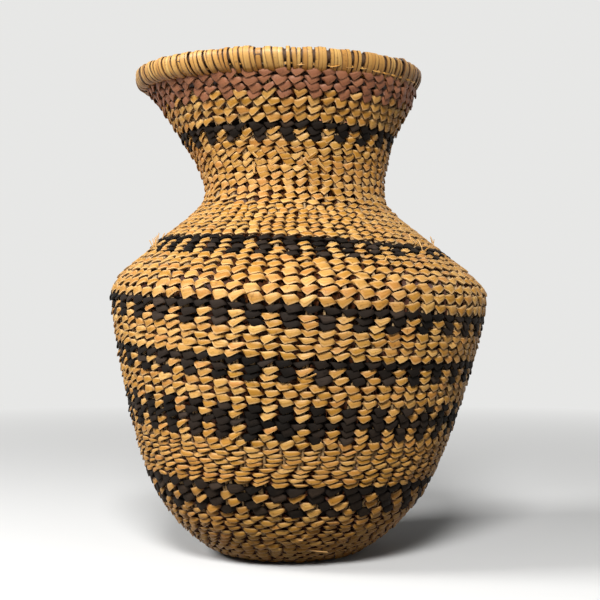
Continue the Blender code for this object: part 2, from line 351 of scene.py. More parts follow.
@dataclass
class Wall:
    """The basket's wall, as its CAD warps show it. They run up its middle.

    A place on it is an angle round the axis, a length along the outer face from the start
    knot's edge, and a depth under that face.

    Attributes:
        nodes: the CAD nodes by name.
        fineness: how many lengths the wall's line has between two corners of a warp.
        rounding: how widely its bends are rounded.
        settlings: how far the wall has settled, from the foot up.
        thickness: the wall's thickness.
        lean: how far to +X the places of its line are.
        outward: the direction that its face looks in at them, as (radius, height).
        face: the places of its outer face, as (radius, height).
        reach: how far along the wall they are.
    """

    nodes: dict[str, bpy.types.Object]
    fineness: int = 8
    rounding: float = 0.003
    settlings: tuple[Settling, ...] = (
        Settling(0.000, 0.0, 0.0, 0.0),
        Settling(0.190, 0.0013, -0.0013, 0.0),
        Settling(0.235, 0.0019, -0.0019, 0.0),
        Settling(0.280, 0.0010, -0.0015, 0.0008),
        Settling(0.300, 0.0003, -0.0015, 0.0010),
        Settling(0.315, -0.0004, -0.0014, 0.0002),
        Settling(0.338, -0.0015, -0.0013, 0.0028),
        Settling(0.352, -0.0019, -0.0013, 0.0020),
    )
    thickness: float = field(init=False)
    lean: np.ndarray = field(init=False)
    outward: np.ndarray = field(init=False)
    face: np.ndarray = field(init=False)
    reach: np.ndarray = field(init=False)

    def __post_init__(self) -> None:
        """Reads the wall's middle from the warps and its thickness from the start knot."""
        low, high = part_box("start_knot")
        self.thickness = high.z - low.z
        warps = [node for name, node in self.nodes.items() if name.startswith("warp_")]
        middle = self.rounded(self.smoothed(self.stations(warps)))
        self.lean = middle[:, 2]
        ahead = np.gradient(middle[:, :2], axis=0)
        ahead /= np.linalg.norm(ahead, axis=1)[:, None]
        self.outward = np.stack([ahead[:, 1], -ahead[:, 0]], axis=1)
        self.face = middle[:, :2] + 0.5 * self.thickness * self.outward
        steps = np.linalg.norm(np.diff(self.face, axis=0), axis=1)
        self.reach = np.concatenate([[0], np.cumsum(steps)])

    def stations(self, warps: list[bpy.types.Object]) -> np.ndarray:
        """Places up the wall's middle, one for each ring of corners that the warps share.

        Args:
            warps: the CAD warps, evenly spaced round the axis.

        Returns:
            (radius, height, lean to +X) of each place, from the base up.
        """
        corners = np.concatenate([[vertex.co for vertex in warp.data.vertices] for warp in warps])
        heights = np.round(corners[:, 2], 5)
        levels = np.unique(heights)
        leans = [corners[heights == level, 0].mean() for level in levels]
        places = self.outline(max(warps, key=lambda warp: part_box(warp.name)[1].x))
        lean = np.interp(places[:, 1], levels, leans)
        rings = np.stack([places[:, 0] - lean, places[:, 1], lean], axis=1)
        half = len(rings) // 2
        return 0.5 * (rings[:half] + rings[: half - 1 : -1])

    @staticmethod
    def outline(warp: bpy.types.Object) -> np.ndarray:
        """The outline of a warp that stands on the X axis, seen from the side.

        Args:
            warp: the warp.

        Returns:
            (x, z) of its corners in order, from its foot up one face and down the other.
        """
        corners = np.round([vertex.co for vertex in warp.data.vertices], 6)
        side = corners[:, 1].max()
        times: dict[frozenset, int] = {}
        for face in warp.data.polygons:
            ends = [tuple(corners[vertex]) for vertex in face.vertices]
            if min(end[1] for end in ends) < side - 1e-5:
                continue
            for pair in zip(ends, ends[1:] + ends[:1]):
                times[frozenset(pair)] = times.get(frozenset(pair), 0) + 1
        # An edge of the outline belongs to one triangle of that side, and any other to two.
        beside: dict[tuple, list] = {}
        for edge in [tuple(pair) for pair, count in times.items() if count == 1]:
            beside.setdefault(edge[0], []).append(edge[1])
            beside.setdefault(edge[1], []).append(edge[0])
        foot, last = sorted(beside)[:2]
        chain = [last, foot]
        while len(chain) < len(beside):
            chain.append(next(end for end in beside[chain[-1]] if end != chain[-2]))
        return np.array(chain[1:] + chain[:1])[:, ::2]

    def smoothed(self, places: np.ndarray) -> np.ndarray:
        """A smooth line through places.

        Args:
            places: the places, in order.

        Returns:
            The places with as many more between them as the wall's fineness asks.
        """
        spans = np.linalg.norm(np.diff(places[:, :2], axis=0), axis=1)[:, None]
        slopes = np.diff(places, axis=0) / spans
        inner = (slopes[:-1] * spans[1:] + slopes[1:] * spans[:-1]) / (spans[1:] + spans[:-1])
        tangents = np.concatenate([slopes[:1], inner, slopes[-1:]])
        line = []
        for i, span in enumerate(spans):
            for u in np.arange(self.fineness) / self.fineness:
                line.append(
                    (1 + 2 * u) * (1 - u) ** 2 * places[i]
                    + u * u * (3 - 2 * u) * places[i + 1]
                    + span * u * (1 - u) * ((1 - u) * tangents[i] - u * tangents[i + 1])
                )
        return np.array([*line, places[-1]])

    def rounded(self, line: np.ndarray) -> np.ndarray:
        """A line with its bends rounded.

        Args:
            line: places along the line.

        Returns:
            As many places, evenly spaced.
        """
        steps = np.linalg.norm(np.diff(line[:, :2], axis=0), axis=1)
        reach = np.concatenate([[0], np.cumsum(steps)])
        even = np.linspace(0, reach[-1], len(line))
        places = np.stack([np.interp(even, reach, part) for part in line.T], axis=1)
        step = even[1]
        # Each place becomes a mean of those near it, out to three times the rounding.
        count = math.ceil(3 * self.rounding / step)
        weights = np.exp(-0.5 * (np.arange(-count, count + 1) * step / self.rounding) ** 2)
        weights /= weights.sum()
        before = 2 * places[0] - places[count:0:-1]
        after = 2 * places[-1] - places[-2 : -2 - count : -1]
        padded = np.concatenate([before, places, after])
        return np.stack([np.convolve(part, weights, "valid") for part in padded.T], axis=1)

    def at(self, angle: np.ndarray, along: np.ndarray, depth: np.ndarray) -> np.ndarray:
        """World places of places on the wall.

        Args:
            angle: angles round the axis, from +X.
            along: lengths along the outer face.
            depth: depths under the outer face.

        Returns:
            The places, with one more axis for x, y and z.
        """
        parts = (*self.face.T, *self.outward.T, self.lean)
        radius, height, out_radius, out_height, lean = (
            np.interp(along, self.reach, part) for part in parts
        )
        # Short of the start knot's edge, the wall runs on level towards the axis.
        radius = radius + np.minimum(along, 0) - depth * out_radius
        height = height - depth * out_height
        lean = lean + self.settling(along)[2]
        return self.settled(angle, along, radius, height, lean)

    def radius(self, along: np.ndarray | float) -> np.ndarray:
        """The radius of the outer face at lengths along it."""
        return np.interp(along, self.reach, self.face[:, 0])

    def settling(self, along: np.ndarray | float) -> tuple[np.ndarray, ...]:
        """How far the wall has settled at lengths along it, as (left, right, aside)."""
        places, *moves = np.transpose([astuple(settling) for settling in self.settlings])
        return tuple(np.interp(along, places, move) for move in moves)

    def settled(
        self,
        angle: np.ndarray,
        along: np.ndarray | float,
        radius: np.ndarray,
        height: np.ndarray,
        lean: np.ndarray | float,
    ) -> np.ndarray:
        """World places round the basket, at the heights to which its wall has settled.

        Args:
            angle: angles round the axis, from +X.
            along: lengths along the outer face.
            radius: how far from the wall's middle line they are.
            height: how high they are in the CAD model.
            lean: how far to +X that line is.

        Returns:
            The places, with one more axis for x, y and z.
        """
        left, right, _ = self.settling(along)
        across = np.cos(angle)
        height = height + (0.5 * (right - left) * across + 0.5 * (right + left) * across ** 2)
        return np.stack([radius * across + lean, radius * np.sin(angle), height], axis=-1)

    def stretch(self, name: str) -> tuple[float, float]:
        """The stretch of wall that a CAD ring covers.

        Args:
            name: the ring's name.

        Returns:
            Where it starts and ends along the wall.
        """
        corners = np.array([vertex.co for vertex in self.nodes[name].data.vertices])
        heights = np.round(corners[:, 2], 6)
        middle = self.face - 0.5 * self.thickness * self.outward
        reached = []
        for height in np.unique(heights):
            level = corners[heights == height]
            lean = level[:, 0].mean()
            for radius in np.unique(np.round(np.hypot(level[:, 0] - lean, level[:, 1]), 5)):
                apart = np.linalg.norm(middle - (radius, height), axis=1)
                reached.append(self.reach[apart.argmin()])
        return min(reached), max(reached)


@dataclass(frozen=True)
class Sway:
    """How far the hand-laid courses stand above level ones at one place up the wall.

    Attributes:
        along: how far along the wall the place is.
        left: how far they stand above level at the left.
        front: how far at the front and at the back.
        right: how far at the right.
    """

    along: float
    left: float
    front: float
    right: float

    def at(self, angle: np.ndarray) -> np.ndarray:
        """How far the courses stand above level.

        Args:
            angle: angles round the axis.

        Returns:
            The height at each angle.
        """
        across, ahead = np.cos(angle), np.sin(angle)
        tilt = 0.5 * (self.right - self.left) * across
        return tilt + 0.5 * (self.right + self.left) * across ** 2 + self.front * ahead ** 2


@dataclass(frozen=True)
class Band:
    """A band of courses, which stands for one CAD ring.

    Attributes:
        node: the CAD ring.
        rows: its courses, from the foot up.
        columns: stitches round its lowest and its highest course, both even.
        turn: how far each course is turned from the one below, in stitches.
        fill: the splints' width, against that of a closely beaten band.
        tuck: how much deeper in the wall a splint's upper edge is than its lower edge.
        plain: checks left out, as (course, first angle, last angle), in degrees from +X.
    """

    node: str
    rows: tuple[Row, ...]
    columns: tuple[int, int]
    turn: float = 0.0
    fill: float = 1.0
    tuck: float = 0.0010
    plain: tuple[tuple[int, float, float], ...] = ()

    def columns_at(self, row: int) -> int:
        """How many stitches there are round one of its courses.

        Args:
            row: the course.

        Returns:
            Their number, which is even.
        """
        low, high = self.columns
        share = row / max(1, len(self.rows) - 1)
        return 2 * round(0.5 * (low + share * (high - low)))

    def kinds(self, row: int, strand: int, angle: np.ndarray) -> np.ndarray:
        """The kinds of the stitches that one splint makes in a course.

        Args:
            row: the course.
            strand: which of its two splints, 0 or 1.
            angle: the angles of the stitches round the axis.

        Returns:
            Each stitch's place in the list of kinds.
        """
        splints = list(Splint)
        kinds = np.full(len(angle), splints.index(self.rows[row].value[strand]))
        for course, first, last in self.plain:
            turned = (np.degrees(angle) - first) % 360
            if course == row:
                kinds[turned < last - first] = splints.index(Splint.STRAW)
        return kinds


@dataclass(frozen=True)
class Stitch:
    """The path and section of a splint from one space between the warps to the next.

    Attributes:
        width: its width where it lies on the warp, as a share of its course's height.
        rise: how far it climbs from its middle to either end, as a share of that height.
        start: how long its slanting lower left edge is, in stitches.
        end: how long its slanting upper right edge is, in stitches.
        tip: how high its pointed end is over its middle, as a share of its width.
        roundness: how late it turns into the wall. 2 is round, and more is flatter.
        lap: how far the tip lies over the next stitch's start, in stitches.
        least: its least width, as a share of its width.
    """

    width: float
    rise: float
    start: float
    end: float
    tip: float
    roundness: float
    lap: float = 0.10
    least: float = 0.16

    def dive(self, ahead: np.ndarray) -> np.ndarray:
        """How deep in the wall the splint is along its path, from 0 to 1."""
        half = np.where(ahead < 0, 0.5, 0.5 + self.lap)
        return (np.abs(ahead) / half) ** self.roundness

    def across(self, ahead: np.ndarray, share: np.ndarray) -> np.ndarray:
        """How high over the splint's middle line a place on it is.

        Args:
            ahead: how far along the stitch the place is, from -0.5 to 0.5.
            share: how far from the lower edge to the upper edge it is, from -0.5 to 0.5.

        Returns:
            The heights, as shares of the splint's width.
        """
        reach = 0.5 + self.lap
        lower = np.interp(ahead, (-0.5, self.start - 0.5, reach), (0.5, -0.5, self.tip))
        upper = np.interp(ahead, (reach - self.end, reach), (0.5, self.tip))
        lower = np.minimum(lower, upper - self.least)
        return lower + (share + 0.5) * (upper - lower)


@dataclass(frozen=True)
class Course:
    """Where one course of stitches lies.

    Attributes:
        along: how far along the wall it is.
        height: its height.
        pitch: the angle from one warp to the next.
        tuck: how much deeper its stitches' upper edges are than their lower edges.
    """

    along: float
    height: float
    pitch: float
    tuck: float


@dataclass(frozen=True)
class Handwork:
    """How much one stitch differs from the next, as a typical difference.

    Attributes:
        width: in its width, as a share.
        rise: in how far it climbs, as a share.
        skew: in how far its upper edge is ahead of its lower edge, in stitches.
        roll: in how much deeper its upper edge is, as a share.
        slope: in how much higher one end is than the other.
        lift: in how deep it lies.
        drift: in how high up the wall it lies.
        length: in its length, as a share.
        shift: in its place along the course, in stitches.
        most: the greatest difference, in typical ones.
    """

    width: float = 0.09
    rise: float = 0.30
    skew: float = 0.08
    roll: float = 0.4
    slope: float = 0.0007
    lift: float = 0.00022
    drift: float = 0.00020
    length: float = 0.07
    shift: float = 0.05
    most: float = 2.0


@dataclass(frozen=True)
class Wave:
    """A wave in the courses, which runs round the basket.

    Attributes:
        count: how often it rises on the way round.
        height: how far it rises.
        drift: how far round it has moved from one course to the next, in radians.
    """

    count: int
    height: float
    drift: float

    def at(self, angle: np.ndarray, row: float) -> np.ndarray:
        """How far it lifts a course at angles round the axis."""
        return self.height * np.sin(self.count * angle + self.drift * row + self.count)


@dataclass(frozen=True)
class PaintedShade:
    """How much painted shade darkens a splint, from 0 for none to 1 for most.

    Attributes:
        crevice: how much there is where it goes into the wall.
        edge: how much along its edges.
        sharpness: how narrow the painted shade along its edges is. Higher is narrower.
        under: how much on its underside.
    """

    crevice: float
    edge: float
    sharpness: int
    under: float

    def at(self, dive: np.ndarray | float, across: np.ndarray, out: np.ndarray) -> np.ndarray:
        """How much painted shade there is at places on a splint.

        Args:
            dive: how deep in the wall they are, from 0 to 1.
            across: how far across the splint they are, from -0.5 to 0.5.
            out: how far out on it they are, from -0.5 to 0.5.

        Returns:
            The painted shade at each place.
        """
        # Painted shade: darker where the splint goes into the wall, along its edges and on its
        # underside.
        edge = np.abs(2 * across) ** self.sharpness
        return np.clip(self.crevice * dive + self.edge * edge + self.under * (out < 0), 0, 1)


@dataclass
class Weave:
    """All the courses of twined weft, laid on the wall.

    Attributes:
        wall: the wall.
        finishes: the material of each kind of splint.
        broad: the flatter, broader of the two splints in a course.
        narrow: the other one, which is narrower and steeper.
        hand: how much the stitches differ from each other.
        shade_and_dirt: where painted shade darkens the stitches.
        thickness: the splints' thickness.
        overlap: how far a stitch runs on into its spaces, in stitches.
        deepest: how deep in the wall its ends may go. 1 is the wall's middle.
        inner_width: how much wider the stitches inside are than those outside.
        inner_taper: how much of the pointed shape of those outside they have.
        ground: how far above the ground the lowest course lies.
        pressed: how thick that course is pressed, as a share of the splints' thickness.
        astray: how far a course is out of line with the next one, in stitches.
        ripples: how often it goes astray and comes back on the way round.
        ripple_drift: how far round the ripples move from one course of a band to the next.
        ripple_climb: how far round they move for each metre up the wall.
        waves: how the courses rise and fall a little, as rows beaten down by hand do.
        outer: the form of a stitch outside.
        inner: the form of a stitch inside.
        seed: what the random numbers start from.
        bands: the bands of courses, from the foot up.
        sways: how far the courses stand above level ones, from the foot up.
        random: the random numbers that all stitches share.
    """

    wall: Wall
    finishes: dict[Splint, bpy.types.Material]
    broad: Stitch = Stitch(1.10, 0.14, start=0.32, end=0.27, tip=-0.14, roundness=4.5)
    narrow: Stitch = Stitch(0.93, 0.24, start=0.34, end=0.30, tip=0.04, roundness=4)
    hand: Handwork = Handwork()
    # Painted shade where the stitches dive into the wall, along their edges and on their
    # undersides.
    shade_and_dirt: PaintedShade = PaintedShade(crevice=0.95, edge=0.30, sharpness=8, under=0.6)
    thickness: float = 0.0009
    overlap: float = 0.24
    deepest: float = 1.25
    inner_width: float = 1.32
    inner_taper: float = 0.1
    ground: float = 0.0001
    pressed: float = 0.8
    astray: float = 0.13
    ripples: int = 5
    ripple_drift: float = 2.3
    ripple_climb: float = 90.0
    waves: tuple[Wave, ...] = (
        Wave(3, 0.00030, 0.31),
        Wave(7, 0.00022, 0.83),
        Wave(13, 0.00014, 1.9),
    )
    outer: Form = field(default_factory=lambda: splint_form(segments=8, chamfer=0.09))
    inner: Form = field(default_factory=lambda: splint_form(segments=4))
    seed: int = 11
    bands: tuple[Band, ...] = (
        Band("base_weft", (Row.STRAW,) * 5, (16, 28), tuck=0.0003),
        Band("heel_turn_weft", (Row.STRAW,) * 8, (32, 42), turn=0.3, fill=0.88, tuck=0.0006),
        Band("heel_weft", (Row.STRAW,) * 9, (44, 48), turn=-0.4, fill=0.85, tuck=0.0008),
        Band("heel_black_weft", (*(Row.CHECK,) * 3, Row.BLACK), (50, 50), turn=0.45),
        Band("lower_wall_weft", (Row.STRAW,) * 8, (54, 56), fill=0.84, tuck=0.0008),
        Band(
            "lower_black_weft",
            (Row.STRAW, Row.CHECK, Row.CHECK, Row.BLACK, Row.CHECK, Row.CHECK),
            (70, 70),
        ),
        Band("middle_wall_weft", (Row.STRAW,) * 3, (70, 70)),
        Band("middle_black_weft", (Row.CHECK, Row.CHECK, Row.BLACK), (70, 70)),
        Band("upper_wall_weft", (Row.STRAW,) * 4, (70, 70)),
        Band("belly_black_weft", (Row.CHECK, Row.CHECK, Row.BLACK), (70, 70)),
        Band("shoulder_weft", (Row.STRAW,) * 6, (70, 70), fill=0.92, tuck=0.0004),
        Band(
            "shoulder_black_weft",
            (*(Row.CHECK,) * 3, Row.BLACK),
            (70, 70),
            fill=1.06,
            tuck=0.0004,
            plain=((0, -64, 24), (1, -48, -40), (1, -22, 10)),
        ),
        Band("slope_weft", (Row.STRAW,) * 7, (66, 66), fill=1.05, tuck=0.0004),
        Band("neck_weft", (Row.STRAW,) * 10, (46, 46), tuck=0.0008),
        Band("neck_black_weft", (Row.CHECK, Row.CHECK, Row.BLACK), (48, 48)),
        Band("flare_weft", (Row.STRAW,) * 2, (52, 52), fill=1.12),
        Band("red_weft", (Row.STRAW, Row.RED_CHECK, *(Row.RED,) * 3), (56, 56), fill=1.10),
        Band("rim_course", (Row.STRAW,), (58, 58), fill=0.50),
    )
    sways: tuple[Sway, ...] = (
        Sway(0.030, 0.0, 0.0, 0.0),
        Sway(0.092, 0.0010, -0.0015, -0.0030),
        Sway(0.132, 0.0033, -0.0032, -0.0033),
        Sway(0.163, 0.0044, -0.0008, -0.0043),
        Sway(0.191, 0.0052, -0.0002, -0.0062),
        Sway(0.2285, 0.0017, -0.0018, -0.0057),
        Sway(0.2440, 0.0000, 0.0010, -0.0060),
        Sway(0.290, 0.0, 0.0, 0.0),
        Sway(0.320, -0.0050, -0.0026, -0.0040),
        Sway(0.335, -0.0012, -0.0006, -0.0010),
        Sway(0.3490, -0.0016, -0.0016, -0.0016),
        Sway(0.3505, 0.0, 0.0, 0.0),
    )
    random: np.random.Generator = field(init=False)

    def __post_init__(self) -> None:
        """Sets the shared random numbers going."""
        self.random = np.random.default_rng(self.seed)

    def sway(self, angle: np.ndarray, along: float) -> np.ndarray:
        """How far a course stands above level.

        Args:
            angle: angles round the axis.
            along: where the course would lie if it were level.

        Returns:
            The height at each angle.
        """
        places = [sway.along for sway in self.sways]
        above = np.array([sway.at(angle) for sway in self.sways])
        share = np.interp(along, places, np.arange(len(places)))
        lower = min(int(share), len(places) - 2)
        return above[lower] + (share - lower) * (above[lower + 1] - above[lower])

    def stitches(
        self, stitch: Stitch, angle: np.ndarray, course: Course, side: int
    ) -> tuple[np.ndarray, np.ndarray]:
        """Lays stitches of one splint in a course, outside or inside.

        Args:
            stitch: the splint's path and section.
            angle: the angles of the warps that they cross.
            course: where the course lies.
            side: 1 outside and -1 inside.

        Returns:
            The corners' places, and how much painted shade darkens each one, from 0 to 1.
        """
        form = self.outer if side > 0 else self.inner
        ahead, across, out = form.corners.T
        ahead = ahead * (1 + self.overlap)
        across = side * across
        hand = self.hand
        vary = np.clip(self.random.normal(size=(8, len(angle), 1)), -hand.most, hand.most)
        widths, rises, skews, slopes, lifts, drifts, lengths, shifts = vary
        ahead = ahead * (1 + hand.length * lengths) + hand.shift * shifts
        width = course.height * stitch.width * (1 + hand.width * widths)
        spread = stitch.across(ahead, across)
        if side < 0:
            width = self.inner_width * width
            spread = (1 - self.inner_taper) * across + self.inner_taper * spread
        rise = side * course.height * stitch.rise * (1 + hand.rise * rises)
        up = width * spread + 2 * rise * ahead + hand.slope * slopes * ahead + hand.drift * drifts
        turned = angle[:, None] + course.pitch * (ahead + hand.skew * skews * across)
        dive = np.minimum(stitch.dive(ahead), self.deepest)
        half = 0.5 * self.thickness
        sunk = half + hand.lift * lifts + dive * (0.5 * self.wall.thickness - half)
        roll = course.tuck * across * (1 + hand.roll * skews)
        depth = sunk + roll - self.thickness * out
        if side < 0:
            depth = self.wall.thickness - depth
        row = course.along / course.height
        wander = sum(wave.at(turned, row) for wave in self.waves)
        level = course.along + self.sway(turned, course.along) + wander
        places = self.wall.at(turned, level + up, depth)
        pressed = self.ground + self.pressed * self.thickness * (0.5 - side * out)
        places[..., 2] = np.maximum(places[..., 2], pressed)
        return places, self.shade_and_dirt.at(dive, across, out)

    def course(
        self, piece: Gathering, band: Band, number: int, start: float, height: float
    ) -> None:
        """Adds one course to a band's piece.

        Args:
            piece: the band's piece so far.
            band: the band.
            number: which of its courses, from the foot up.
            start: where the band starts along the wall.
            height: the height of one course.
        """
        columns = band.columns_at(number)
        pitch = 2 * math.pi / columns
        along = start + (number + 0.5) * height
        warps = pitch * (np.arange(columns) - band.turn * number)
        phase = self.ripple_drift * number + self.ripple_climb * along
        ripple = np.sin(self.ripples * warps + phase)
        warps = warps + pitch * self.astray * (self.random.uniform(-1, 1) + ripple)
        length = pitch * self.wall.radius(along)
        laid = Course(along, height, pitch, band.tuck)
        for strand, stitch in enumerate((self.broad, self.narrow)):
            stitch = replace(stitch, width=stitch.width * band.fill)
            for side, form in ((1, self.outer), (-1, self.inner)):
                angle = warps[strand::2] if side > 0 else warps[1 - strand :: 2]
                places, shade_and_dirt = self.stitches(stitch, angle, laid, side)
                tone = self.random.random((len(angle), 2))
                finish = band.kinds(number, strand, angle)
                piece.add(form, places, tone, shade_and_dirt, length, finish)

    def band(self, band: Band, start: float, end: float) -> bpy.types.Object:
        """Makes the piece of one band.

        Args:
            band: the band.
            start: where it starts along the wall.
            end: where it ends.

        Returns:
            Its object.
        """
        height = (end - start) / len(band.rows)
        piece = Gathering(f"{band.node}_stitches")
        for number in range(len(band.rows)):
            self.course(piece, band, number, start, height)
        kinds = {splint for row in band.rows for splint in row.value}
        used = [splint for splint in Splint if splint in kinds]
        order = {list(Splint).index(splint): place for place, splint in enumerate(used)}
        piece.finishes = [np.vectorize(order.get)(kind) for kind in piece.finishes]
        made = piece.finished([self.finishes[splint] for splint in used], SPLINT_EDGE)
        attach(made, BODY)
        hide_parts(band.node)
        return made

    def build(self) -> list[bpy.types.Object]:
        """Makes every band.

        Returns:
            The bands' objects, from the foot up.
        """
        ends = np.array([self.wall.stretch(band.node) for band in self.bands])
        shared = 0.5 * (ends[1:, 0] + ends[:-1, 1])
        bounds = [ends[0, 0], *shared, ends[-1, 1]]
        return [self.band(*given) for given in zip(self.bands, bounds, bounds[1:])]


@dataclass(frozen=True)
class Bundle:
    """Split rods that stand side by side as one warp, over a stretch of the wall.

    Attributes:
        first: the CAD ring where the stretch starts.
        last: the CAD ring where it ends.
        count: the warps in it.
        rods: the rods in each warp.
        width: a warp's width.
        proud: how much nearer the outer face the rods are than the wall's middle.
    """

    first: str
    last: str
    count: int
    rods: int
    width: float = 0.0034
    proud: float = 0.0004


@dataclass
class Warps:
    """The warps, which show between the stitches.

    Attributes:
        wall: the wall.
        finish: the rods' material.
        depth: the rods' depth.
        step: about how far apart a rod's bends are.
        sides: how many sides a rod has.
        fit: a rod's width, as a share of its room.
        stray: how far a rod typically is from its place.
        shade_and_dirt: how far the rods are darkened towards their finish's darkest colour, from 0
            to 1.
        seed: what the random numbers start from.
        bundles: the stretches, from the foot up.
    """

    wall: Wall
    finish: bpy.types.Material
    depth: float = 0.0021
    step: float = 0.008
    sides: int = 6
    fit: float = 0.94
    stray: float = 0.0002
    shade_and_dirt: float = 0.1
    seed: int = 5
    bundles: tuple[Bundle, ...] = (
        Bundle("base_weft", "base_weft", 22, 1),
        Bundle("heel_turn_weft", "heel_turn_weft", 36, 1),
        Bundle("heel_weft", "heel_weft", 46, 1),
        Bundle("heel_black_weft", "heel_black_weft", 50, 2),
        Bundle("lower_wall_weft", "lower_wall_weft", 54, 2, width=0.0040),
        Bundle("lower_black_weft", "belly_black_weft", 70, 2),
        Bundle("shoulder_weft", "shoulder_black_weft", 70, 1, width=0.0028, proud=0.0006),
        Bundle("slope_weft", "slope_weft", 66, 1),
        Bundle("neck_weft", "neck_weft", 46, 2),
        Bundle("neck_black_weft", "neck_black_weft", 48, 2),
        Bundle("flare_weft", "flare_weft", 52, 2),
        Bundle("red_weft", "rim_course", 56, 2),
    )

    def add(self, piece: Gathering, bundle: Bundle, random: np.random.Generator) -> None:
        """Adds the rods of one stretch.

        Args:
            piece: the piece so far.
            bundle: the stretch and its bundles.
            random: where the rods' small differences come from.
        """
        start = self.wall.stretch(bundle.first)[0] - 0.5 * bundle.width
        end = self.wall.stretch(bundle.last)[1] + 0.5 * bundle.width
        form = rod_form(max(2, round((end - start) / self.step)), self.sides)
        ahead, across, out = form.corners.T
        along = 0.5 * (start + end) + (end - start) * ahead
        radius = self.wall.radius(along)
        width = bundle.width / bundle.rods
        for rod in range(bundle.rods):
            angle = 2 * math.pi * np.arange(bundle.count)[:, None] / bundle.count
            aside = (rod - 0.5 * (bundle.rods - 1)) * width
            stray = self.stray * random.normal(size=(bundle.count, 1))
            turned = angle + (aside + stray + self.fit * width * across) / radius
            depth = 0.5 * self.wall.thickness - bundle.proud - self.depth * out
            places = self.wall.at(turned, along, depth)
            tone = random.random((bundle.count, 2))
            piece.add(form, places, tone, self.shade_and_dirt, end - start)

    def build(self) -> bpy.types.Object:
        """Makes all the warps, as one piece.

        Returns:
            The piece's object.
        """
        random = np.random.default_rng(self.seed)
        piece = Gathering("warp_rods")
        for bundle in self.bundles:
            self.add(piece, bundle, random)
        made = piece.finished([self.finish], ROD_EDGE)
        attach(made, BODY)
        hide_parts(*[name for name in frame["nodes"] if name.startswith("warp_")])
        return made


@dataclass(frozen=True)
class Oval:
    """The oval that the overcast splint follows round the hoop and the top course.

    Attributes:
        middle: its middle, as (radius, height).
        tall: from its middle to its upper end.
        wide: from its middle to its outer side.
        lean: how far to +X it is moved.
    """

    middle: np.ndarray
    tall: np.ndarray
    wide: np.ndarray
    lean: float

    def at(self, turn: np.ndarray, size: np.ndarray, down: np.ndarray) -> np.ndarray:
        """Places on it.

        Args:
            turn: how far round it they are, in radians from its outer side.
            size: how large it is there, as a share.
            down: how far up and down it reaches there, as a share.

        Returns:
            Their radii and their heights.
        """
        wide, tall = self.wide[:, None, None], self.tall[:, None, None]
        along = wide * np.cos(turn) + down * tall * np.sin(turn)
        return self.middle[:, None, None] + size * along

    def normal(self, turn: np.ndarray) -> np.ndarray:
        """Which way it faces at places on it.

        Args:
            turn: how far round it they are, in radians from its outer side.

        Returns:
            The directions, as (radius, height).
        """
        wide = self.wide / (self.wide @ self.wide)
        tall = self.tall / (self.tall @ self.tall)
        normal = wide[:, None] * np.cos(turn) + tall[:, None] * np.sin(turn)
        return normal / np.linalg.norm(normal, axis=0)


@dataclass(frozen=True)
class Turning:
    """How much one turn of the overcast differs from the next, as a typical difference.

    Attributes:
        width: in its width, as a share.
        stand: in how far it stands off the hoop.
        size: in its size, as a share.
        lean: in how far it leans, as a share.
        shift: in its place along the rim, in turns.
    """

    width: float = 0.22
    stand: float = 0.0003
    size: float = 0.02
    lean: float = 0.35
    shift: float = 0.18


